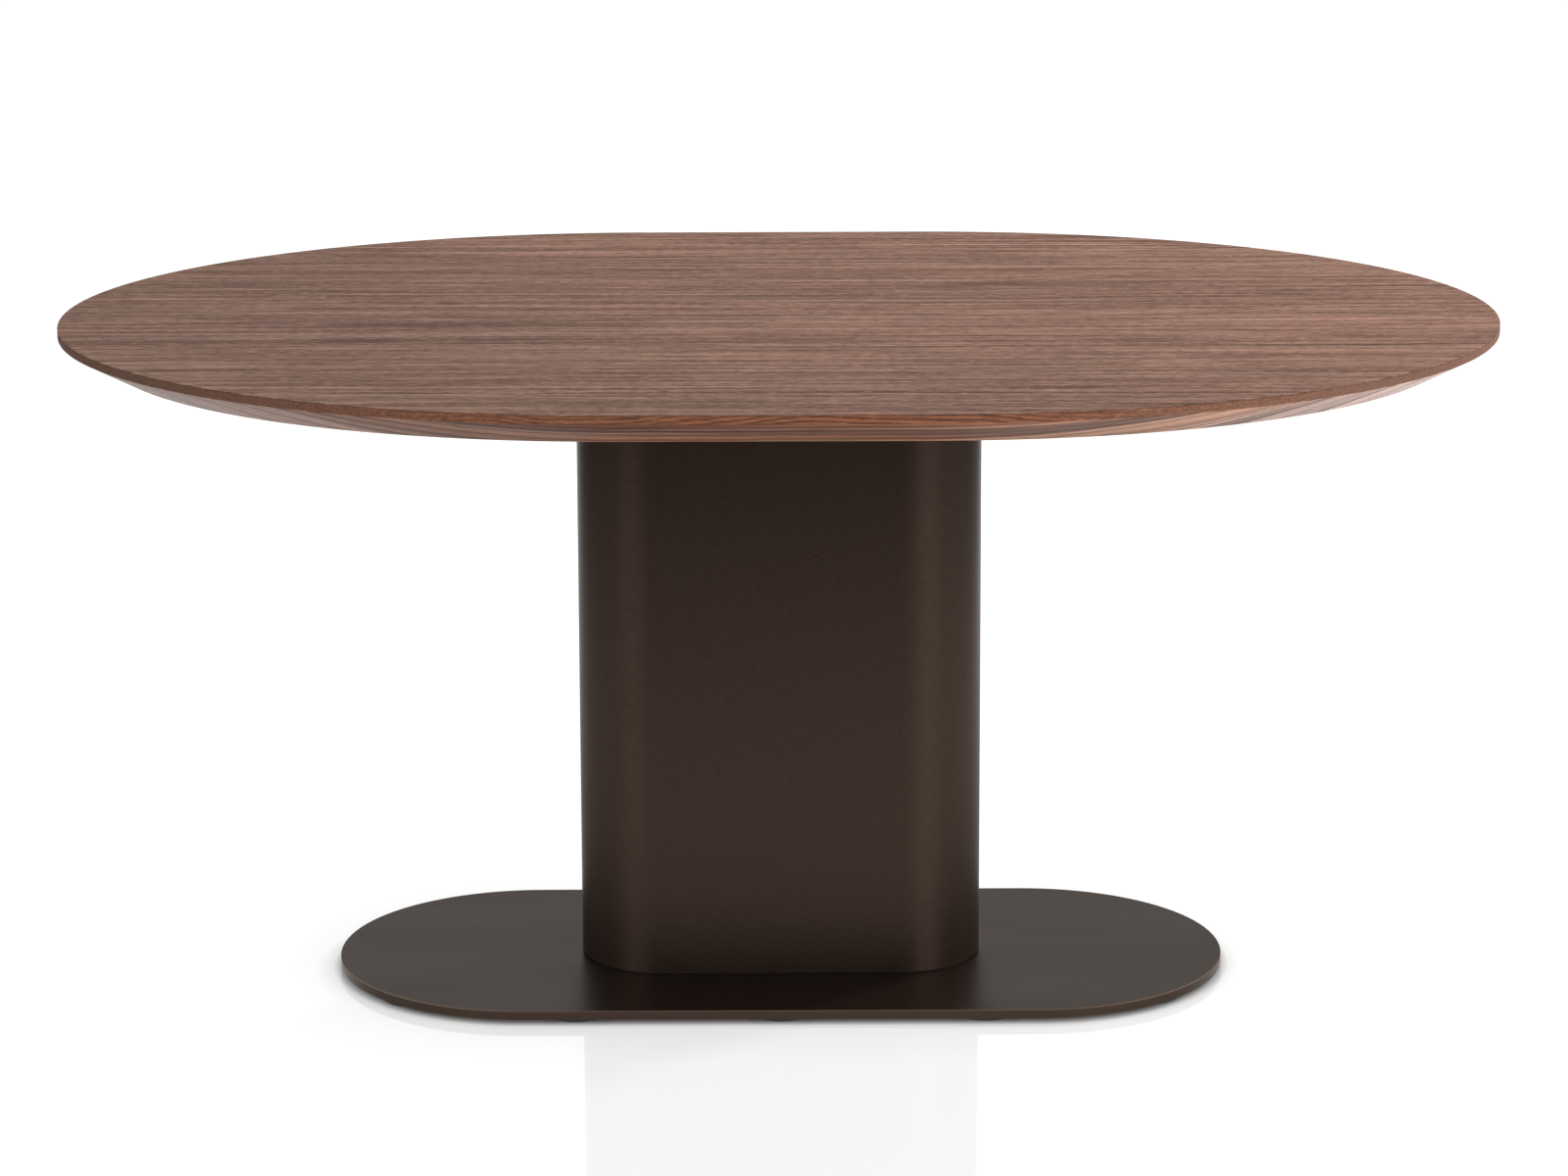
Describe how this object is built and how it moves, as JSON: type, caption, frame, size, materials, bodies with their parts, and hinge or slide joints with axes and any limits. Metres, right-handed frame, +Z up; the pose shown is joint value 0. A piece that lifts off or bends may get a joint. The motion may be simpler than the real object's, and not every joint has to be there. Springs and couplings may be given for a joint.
{
  "type": "dining table",
  "caption": "Oval dining table: walnut veneered top with an undercut bevelled edge on a flat-sided dark bronze steel column and a flat stadium base plate with levelling glides.",
  "frame": {"origin": "on the floor, under the middle of the table", "axes": "+X along the table, +Y from the front long edge to the back one, +Z up"},
  "size_m": [1.6, 1.05, 0.754],
  "materials": {
    "walnut_veneer": "fine straight-grained walnut veneer, matt lacquer",
    "solid_walnut": "solid walnut, matt lacquer",
    "walnut_backing": "plain walnut backing veneer",
    "core_board": "raw fibreboard",
    "spline_plywood": "raw birch plywood",
    "brushed_bronze_steel": "dark bronze, fine brushing round the column",
    "satin_bronze_steel": "dark bronze, satin",
    "black_steel": "black powder coat",
    "zinc_steel": "bright zinc plated",
    "insert_brass": "plain brass",
    "black_nylon": "moulded black nylon"
  },
  "bodies": {
    "table": {"top_veneer": "walnut_veneer", "backing_veneer": "walnut_backing", "top_core": "core_board", "lipping_splines": "spline_plywood", "head_plate": "black_steel", "head_locator": "black_steel", "mid_diaphragm": "black_steel", "foot_flange": "black_steel", "inner_post_left": "black_steel", "inner_post_right": "black_steel", "head_screws": "zinc_steel", "head_washers": "zinc_steel", "base_bolts": "zinc_steel", "threaded_inserts": "insert_brass", "column_shell": "brushed_bronze_steel", "base_plate": "satin_bronze_steel", "lipping_front": "solid_walnut", "lipping_back": "solid_walnut", "lipping_left_front": "solid_walnut", "lipping_left_back": "solid_walnut", "lipping_right_front": "solid_walnut", "lipping_right_back": "solid_walnut"},
    "glide_front_left": {"foot_pad_front_left": "black_nylon", "foot_stud_front_left": "zinc_steel"},
    "glide_front_middle": {"foot_pad_front_middle": "black_nylon", "foot_stud_front_middle": "zinc_steel"},
    "glide_front_right": {"foot_pad_front_right": "black_nylon", "foot_stud_front_right": "zinc_steel"},
    "glide_back_left": {"foot_pad_back_left": "black_nylon", "foot_stud_back_left": "zinc_steel"},
    "glide_back_middle": {"foot_pad_back_middle": "black_nylon", "foot_stud_back_middle": "zinc_steel"},
    "glide_back_right": {"foot_pad_back_right": "black_nylon", "foot_stud_back_right": "zinc_steel"},
    "glide_left_front": {"foot_pad_left_front": "black_nylon", "foot_stud_left_front": "zinc_steel"},
    "glide_left_back": {"foot_pad_left_back": "black_nylon", "foot_stud_left_back": "zinc_steel"},
    "glide_right_front": {"foot_pad_right_front": "black_nylon", "foot_stud_right_front": "zinc_steel"},
    "glide_right_back": {"foot_pad_right_back": "black_nylon", "foot_stud_right_back": "zinc_steel"}
  },
  "joints": [
    {"name": "glide_front_left_screw", "type": "slide", "parent": "table", "child": "glide_front_left", "axis": [0, 0, -1], "range_m": [0, 0.003]},
    {"name": "glide_front_middle_screw", "type": "slide", "parent": "table", "child": "glide_front_middle", "axis": [0, 0, -1], "range_m": [0, 0.003]},
    {"name": "glide_front_right_screw", "type": "slide", "parent": "table", "child": "glide_front_right", "axis": [0, 0, -1], "range_m": [0, 0.003]},
    {"name": "glide_back_left_screw", "type": "slide", "parent": "table", "child": "glide_back_left", "axis": [0, 0, -1], "range_m": [0, 0.003]},
    {"name": "glide_back_middle_screw", "type": "slide", "parent": "table", "child": "glide_back_middle", "axis": [0, 0, -1], "range_m": [0, 0.003]},
    {"name": "glide_back_right_screw", "type": "slide", "parent": "table", "child": "glide_back_right", "axis": [0, 0, -1], "range_m": [0, 0.003]},
    {"name": "glide_left_front_screw", "type": "slide", "parent": "table", "child": "glide_left_front", "axis": [0, 0, -1], "range_m": [0, 0.003]},
    {"name": "glide_left_back_screw", "type": "slide", "parent": "table", "child": "glide_left_back", "axis": [0, 0, -1], "range_m": [0, 0.003]},
    {"name": "glide_right_front_screw", "type": "slide", "parent": "table", "child": "glide_right_front", "axis": [0, 0, -1], "range_m": [0, 0.003]},
    {"name": "glide_right_back_screw", "type": "slide", "parent": "table", "child": "glide_right_back", "axis": [0, 0, -1], "range_m": [0, 0.003]}
  ]
}
